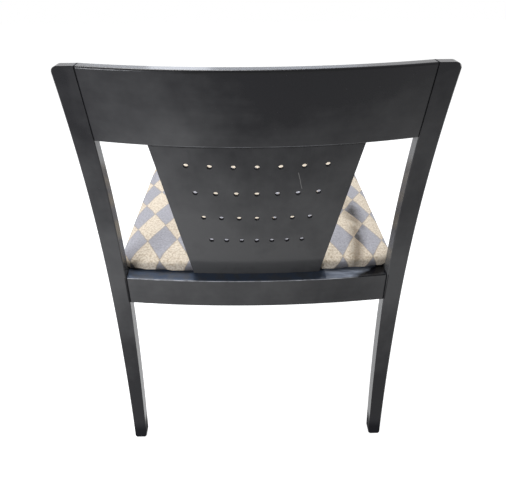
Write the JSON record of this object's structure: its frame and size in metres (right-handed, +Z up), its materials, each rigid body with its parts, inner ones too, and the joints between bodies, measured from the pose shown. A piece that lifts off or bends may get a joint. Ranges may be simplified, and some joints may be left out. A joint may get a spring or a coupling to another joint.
{
  "type": "upholstered side chair",
  "caption": "Side chair in black painted wood with sabre rear posts, a bowed crest rail, a pierced tapered splat and a crowned checked fabric seat on four tapered legs.",
  "frame": {"origin": "on the floor, under the middle of the chair's bounding box", "axes": "+Z up, the front of the seat towards -Y, the sitter's left at +X"},
  "size_m": [0.554, 0.6052, 0.823],
  "materials": {
    "painted_wood": "charcoal black satin paint over a close-grained hardwood",
    "bare_wood": "unpainted beech and plywood, out of sight",
    "seat_fabric": "woven cream and slate harlequin check",
    "foam": "cut upholstery foam",
    "lining": "thin black non-woven cloth",
    "glide_plastic": "dark grey nail-on glide",
    "screw_steel": "zinc-plated steel"
  },
  "bodies": {
    "root": {"left_rear_post": "painted_wood", "right_rear_post": "painted_wood", "crest_rail": "painted_wood", "splat": "painted_wood", "rear_seat_rail": "painted_wood", "front_seat_rail": "painted_wood", "left_side_rail": "painted_wood", "right_side_rail": "painted_wood", "left_front_leg": "painted_wood", "right_front_leg": "painted_wood", "left_rear_corner_block": "bare_wood", "right_rear_corner_block": "bare_wood", "left_front_corner_block": "bare_wood", "right_front_corner_block": "bare_wood", "left_rear_glide": "glide_plastic", "right_rear_glide": "glide_plastic", "left_front_glide": "glide_plastic", "right_front_glide": "glide_plastic", "seat_board": "bare_wood", "seat_foam": "foam", "seat_cover": "seat_fabric", "dust_cover": "lining", "crest_dowels": "bare_wood", "rear_rail_dowels": "bare_wood", "front_rail_dowels": "bare_wood", "side_rail_dowels": "bare_wood", "corner_block_screws": "screw_steel", "seat_screws": "screw_steel"}
  },
  "joints": []
}
